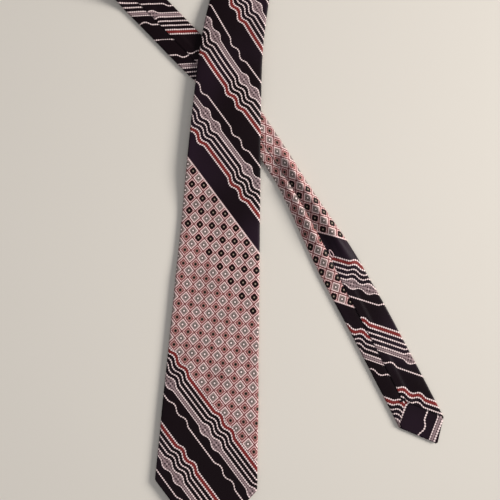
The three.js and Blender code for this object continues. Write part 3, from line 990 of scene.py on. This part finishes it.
class NECKTIE_OT_interlining(bpy.types.Operator):
    """Lay the brushed interlining inside the three shells"""

    bl_idname = "necktie.interlining"
    bl_label = "Interlining"

    def execute(self, context):
        tie = the_tie()
        height, inset, gap = 0.0001, 0.003, 2 * SEAM_GAP
        thick = tie.z.loft * 0.8
        plain = Cut((1, 0), (0, 1, 0))
        blade = stations_between(BLADE_ROWS, tie.blade_seam - gap, 0.006)
        neck = stations_between(tie.blade_seam + gap, tie.tail_seam - gap, 0.005)
        tail = stations_between(tie.tail_seam + gap, tie.length - TAIL_INNER_ROWS, 0.006)
        for body, stations, end in (
            ("blade", blade, ("first", 14, tie.blade_end)),
            ("neck", neck, None),
            ("tail", tail, ("last", 10, tie.tail_end)),
        ):
            name = body + "_interlining_felt"
            mesh = inner_mesh(tie, name, stations, height, plain, inset, end)
            nodes, bends, felt = [body + "_interlining"], end is not None, "brushed_interlining"
            lay(name, mesh, body, felt, thick, bends, nodes, body + "_cloth")
        return {"FINISHED"}


class NECKTIE_OT_tipping(bpy.types.Operator):
    """Line both open points with the shell's own cloth"""

    bl_idname = "necktie.tipping"
    bl_label = "Tipping"

    def execute(self, context):
        tie = the_tie()
        z = tie.z
        height, inset, columns = -z.loft / 2 + z.lining_cloth / 2, 0.0008, 30
        blade = stations_between(BLADE_ROWS, z.blade_tipping, 0.003)
        tail = stations_between(tie.length - z.tail_tipping, tie.length - TAIL_INNER_ROWS, 0.003)
        for body, stations, end in (
            ("blade", blade, ("first", 30, tie.blade_end)),
            ("tail", tail, ("last", 24, tie.tail_end)),
        ):
            name = body + "_tipping_cloth"
            mesh = inner_mesh(tie, name, stations, height, CUTS[body + "_tipping"], inset, end, columns)
            nodes, under, thick = [body + "_tipping"], body + "_interlining_felt", z.lining_cloth
            lay(name, mesh, body, "figured_cloth", thick, False, nodes, under)
        return {"FINISHED"}


class NECKTIE_OT_stitching(bpy.types.Operator):
    """Sew the back seam, the bar tacks and the loose loop of thread"""

    bl_idname = "necktie.stitching"
    bl_label = "Stitching"

    def execute(self, context):
        tie = the_tie()

        def stitch(s):
            """A short thread from the under flap over the turned edge of the over flap."""
            edge = tie.seam_edge(s)
            low, high = -tie.radius - 0.0003, -tie.radius - tie.over_drop - 0.0002
            return [
                tie.place(s - 0.0010, edge - 0.0009, low),
                tie.place(s - 0.0006, edge - 0.0005, low - 0.0001),
                tie.place(s, edge, high - 0.0001),
                tie.place(s + 0.0005, edge + 0.0005, high),
            ]

        margin, step, radius = 0.004, 0.0085, 0.00016
        for body, low, high, *nodes in (
            ("blade", SEWN_FROM, tie.blade_seam, "blade_slip_stitch"),
            ("neck", tie.blade_seam, tie.tail_seam, "neck_slip_stitch"),
            ("tail", tie.tail_seam, tie.length - SEWN_TO, "tail_slip_stitch", "tail_slip_stitch_upper"),
        ):
            name = body + "_seam_stitches"
            stations = stations_between(low + margin, high - margin, step)
            mesh = threads(name, [stitch(s) for s in stations], radius)
            piece = finished(name, mesh, body, "sewing_thread", bends=body != "neck")
            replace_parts(piece, *nodes)

        for body, s in (("blade", 0.1533), ("tail", tie.length - 0.0558)):
            name = body + "_tack_stitches"
            edge, low = tie.seam_edge(s), -tie.back_depth - 0.00018
            bars = []
            for k in range(9):
                along = s + (k - 4) * 0.00022
                bars.append([
                    tie.place(along + 0.0001 * math.sin(j + k), edge + TACK_HALF * (j / 3 - 1), low)
                    for j in range(7)
                ])
            mesh = threads(name, bars, 0.00015)
            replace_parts(finished(name, mesh, body, "sewing_thread"), body + "_bar_tack")

        at = tie.tail_flex + 0.098
        middle, high = tie.seam_edge(at) + 0.0022, -tie.back_depth - LOOP_THREAD
        loop = []
        for k in range(25):
            a = math.pi * 2 * k / 24
            wide = 0.0014 * math.sin(a) * (1 + 0.25 * math.cos(a))
            along = 0.0042 * math.cos(a)
            rise = 0.0018 * (1 - math.cos(a)) / 2
            loop.append(tie.place(at + along, middle + wide, high - rise))
        mesh = threads("loose_thread_loop", [loop], LOOP_THREAD)
        piece = finished("loose_thread_loop", mesh, "tail", "pale_thread")
        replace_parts(piece, "slack_thread_loop")
        return {"FINISHED"}


class NECKTIE_OT_fittings(bpy.types.Operator):
    """Sew the keeper loop and the two blank labels on the blade's back"""

    bl_idname = "necktie.fittings"
    bl_label = "Keeper and labels"

    def patch(self, tie, name, at, length, u, span, depth, thick, cut):
        """A flat patch of cloth on the back, with a slight wave."""
        columns, rows = 26, 16

        def station(i, j):
            return at + length * (j / rows - 0.5)

        def point(s, i):
            share = i / columns
            across = u + span * (share - 0.5)
            wave = 0.00006 * wander(s / 0.006, share * 5, 3.0)
            return tie.place(s, across, -depth - thick / 2 + wave), across

        return laid_cloth(name, columns, rows, station, point, cut)

    def execute(self, context):
        tie = the_tie()
        z = tie.z
        low, thick, cut = tie.back_depth + z.air, 0.0005, CUTS["keeper"]
        mesh = self.patch(tie, "keeper_band", z.keeper_at, z.keeper_band, 0, z.keeper_span, low, thick, cut)
        piece = finished("keeper_band", mesh, "blade", "figured_cloth", thick)
        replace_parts(piece, "keeper_loop")
        plain, thick = Cut((1, 0), (0, 1, 0), pair=1.0), 0.0003
        for name, at, length, u, span, depth, node in (
            ("blank_maker_label", 0.248, 0.026, 0, 0.046, low, "maker_label"),
            ("blank_care_label", 0.186, 0.026, 0.022, 0.017, tie.face_height + z.air, "care_label"),
        ):
            mesh = self.patch(tie, name, at, length, u, span, depth, thick, plain)
            piece = finished(name, mesh, "blade", "label_ribbon", thick)
            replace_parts(piece, node)
        half = 0.0009
        for side, node in ((-1, "keeper_tack_left"), (1, "keeper_tack_right")):
            u = side * (z.keeper_span / 2 + z.air + half)
            bars = []
            for k in range(22):
                s = z.keeper_at + (k - 10.5) * 0.00044
                drops = [0.0001 + 0.0003 * math.sin(math.pi * j / 4) for j in range(5)]
                bars.append([
                    tie.place(s, u + half * (j / 2 - 1), -tie.back_depth - drop)
                    for j, drop in enumerate(drops)
                ])
            mesh = threads(node + "_stitches", bars, 0.00018)
            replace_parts(finished(node + "_stitches", mesh, "blade", "sewing_thread"), node)
        return {"FINISHED"}


class NECKTIE_OT_stage(bpy.types.Operator):
    """Set the pale floor, the soft light and the camera straight above"""

    bl_idname = "necktie.stage"
    bl_label = "Stage"

    def execute(self, context):
        colours = context.scene.necktie_colours
        form = bmesh.new()
        bmesh.ops.create_grid(form, x_segments=1, y_segments=1, size=4)
        mesh = bpy.data.meshes.new("floor")
        form.to_mesh(mesh)
        form.free()
        floor = bpy.data.objects.new("floor", mesh)
        context.scene.collection.objects.link(floor)
        sh = Shader("pale_floor")
        at = sh.place()
        grain = sh.noise(at, 6.0, 3.0)
        shade = sh.mix(grain * 0.06, colours.floor, (0.5, 0.45, 0.38, 1))
        mesh.materials.append(sh.surface({"Base Color": shade, "Roughness": 0.7, "Specular IOR Level": 0.2}))

        middle = Vector((-0.02224, -0.04409, 0))  # what the camera looks at
        half_view, top = 0.25, 0.0045  # half of what it sees, at the height of the blade's face
        camera = bpy.data.cameras.new("camera")
        camera.lens, camera.sensor_width = 50, 36
        height = half_view / math.tan(camera.angle / 2)
        view = bpy.data.objects.new("camera", camera)
        view.location = middle + Vector((0, 0, height + top))
        context.scene.collection.objects.link(view)
        context.scene.camera = view

        def lamp(name, at, power, wide, tint):
            data = bpy.data.lights.new(name, "AREA")
            data.shape, data.size, data.energy, data.color = "DISK", wide, power, tint
            data.spread = math.radians(LAMP_SPREAD)
            lit = bpy.data.objects.new(name, data)
            lit.location = middle + Vector(at)
            lit.rotation_euler = (-Vector(at)).to_track_quat("-Z", "Y").to_euler()
            context.scene.collection.objects.link(lit)

        lamp("window", (2.35, 0.62, 1.20), 19.6, 1.1, (1.0, 0.98, 0.95))
        lamp("room", (-0.4, -0.9, 1.6), 0.8, 1.2, (0.95, 0.97, 1.0))
        world = bpy.data.worlds.new("room_light")
        world.use_nodes = True
        sky = world.node_tree.nodes["Background"]
        sky.inputs["Color"].default_value = (0.93, 0.95, 1.0, 1)
        sky.inputs["Strength"].default_value = 0.34
        context.scene.world = world
        context.scene.view_settings.view_transform = "Standard"
        return {"FINISHED"}


class NECKTIE_PT_panel(bpy.types.Panel):
    """The necktie's sizes, colours and steps"""

    bl_idname = "NECKTIE_PT_panel"
    bl_label = "Necktie"
    bl_space_type = "VIEW_3D"
    bl_region_type = "UI"
    bl_category = "Necktie"

    def draw(self, context):
        layout = self.layout
        for group in (context.scene.necktie_sizes, context.scene.necktie_colours):
            box = layout.box()
            for name in type(group).__annotations__:
                box.prop(group, name)
        for operator in OPERATORS:
            layout.operator(operator.bl_idname)


OPERATORS = (
    NECKTIE_OT_stage,
    NECKTIE_OT_blade,
    NECKTIE_OT_neck,
    NECKTIE_OT_tail,
    NECKTIE_OT_interlining,
    NECKTIE_OT_tipping,
    NECKTIE_OT_stitching,
    NECKTIE_OT_fittings,
)
CLASSES = (TieSizes, TieColours, *OPERATORS, NECKTIE_PT_panel)


def register():
    for cls in CLASSES:
        bpy.utils.register_class(cls)
    bpy.types.Scene.necktie_sizes = bpy.props.PointerProperty(type=TieSizes)
    bpy.types.Scene.necktie_colours = bpy.props.PointerProperty(type=TieColours)


def unregister():
    del bpy.types.Scene.necktie_colours
    del bpy.types.Scene.necktie_sizes
    for cls in reversed(CLASSES):
        bpy.utils.unregister_class(cls)


def main():
    register()
    for operator in OPERATORS:
        family, step = operator.bl_idname.split(".")
        getattr(getattr(bpy.ops, family), step)()


if __name__ == "__main__":
    main()
